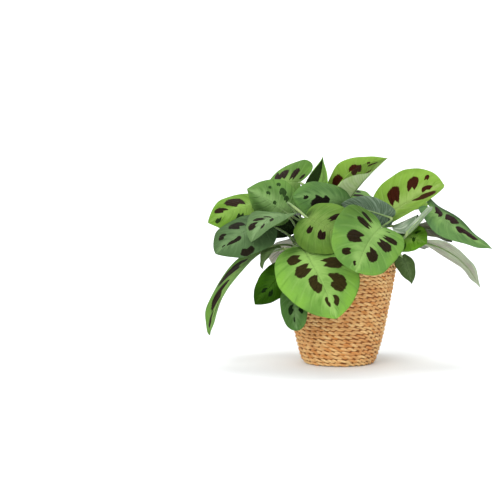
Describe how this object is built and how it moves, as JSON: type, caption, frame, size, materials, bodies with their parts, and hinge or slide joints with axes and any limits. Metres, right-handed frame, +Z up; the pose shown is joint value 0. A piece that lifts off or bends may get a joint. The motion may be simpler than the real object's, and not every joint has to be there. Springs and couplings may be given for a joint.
{
  "type": "potted prayer plant",
  "caption": "Potted prayer plant with broad spotted leaves on slim stalks, in a nursery pot of soil inside a tapered coiled basket of seagrass rope.",
  "frame": {"origin": "middle of the basket's flat bottom", "axes": "+Z up, +X to the viewer's right along the plant's widest spread, -Y towards the plant's front"},
  "size_m": [0.3453, 0.2487, 0.2511],
  "materials": {
    "leaf_green": "satin",
    "seagrass": "matte",
    "pot_plastic": "matte",
    "potting_mix": "matte"
  },
  "bodies": {
    "root": {"basket": "seagrass", "nursery_pot": "pot_plastic", "soil": "potting_mix", "leafy_stem_01": "leaf_green", "leafy_stem_02": "leaf_green", "leafy_stem_03": "leaf_green", "leafy_stem_04": "leaf_green", "leafy_stem_05": "leaf_green", "leafy_stem_06": "leaf_green", "leafy_stem_07": "leaf_green", "leafy_stem_08": "leaf_green", "leafy_stem_09": "leaf_green", "leafy_stem_10": "leaf_green", "leafy_stem_11": "leaf_green", "leafy_stem_12": "leaf_green"}
  },
  "joints": []
}
